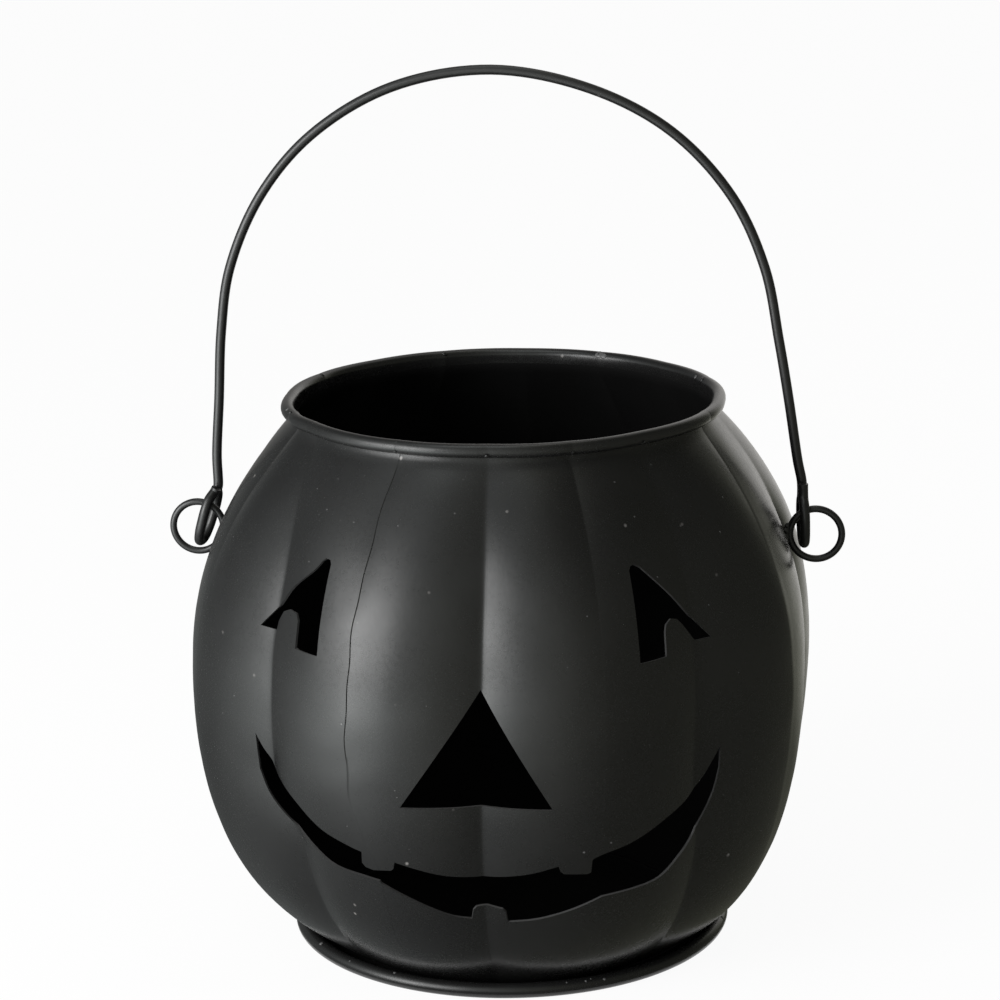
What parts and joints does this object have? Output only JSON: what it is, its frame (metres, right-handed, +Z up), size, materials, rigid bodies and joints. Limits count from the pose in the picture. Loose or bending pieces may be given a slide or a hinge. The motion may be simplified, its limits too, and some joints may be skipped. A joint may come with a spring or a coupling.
{
  "type": "pumpkin lantern",
  "caption": "Open-topped pumpkin-shaped lantern of pleated black sheet metal, with a cut-out smiling face and a wire bail that swings in welded ear rings.",
  "frame": {"origin": "middle of the base, on the surface that the lantern stands on", "axes": "+Z up; the face looks along -Y; the ear rings lie along X, the right ear on +X"},
  "size_m": [0.1752, 0.1589, 0.2256],
  "materials": {
    "black_sheet": "satin black paint on thin iron sheet",
    "black_wire": "satin black paint on iron wire",
    "core_wire": "bare drawn wire"
  },
  "bodies": {
    "lantern": {"pumpkin_shell": "black_sheet", "base_pan": "black_sheet", "rim_wire": "core_wire", "base_wire": "core_wire", "left_ear_ring": "black_wire", "right_ear_ring": "black_wire"},
    "bail": {"bail_handle": "black_wire"}
  },
  "joints": [
    {"name": "bail_swing", "type": "hinge", "parent": "lantern", "child": "bail", "pos_m": [0, 0.0007, 0.11112], "axis": [1, 0, 0], "range_deg": [-95, 105]}
  ]
}
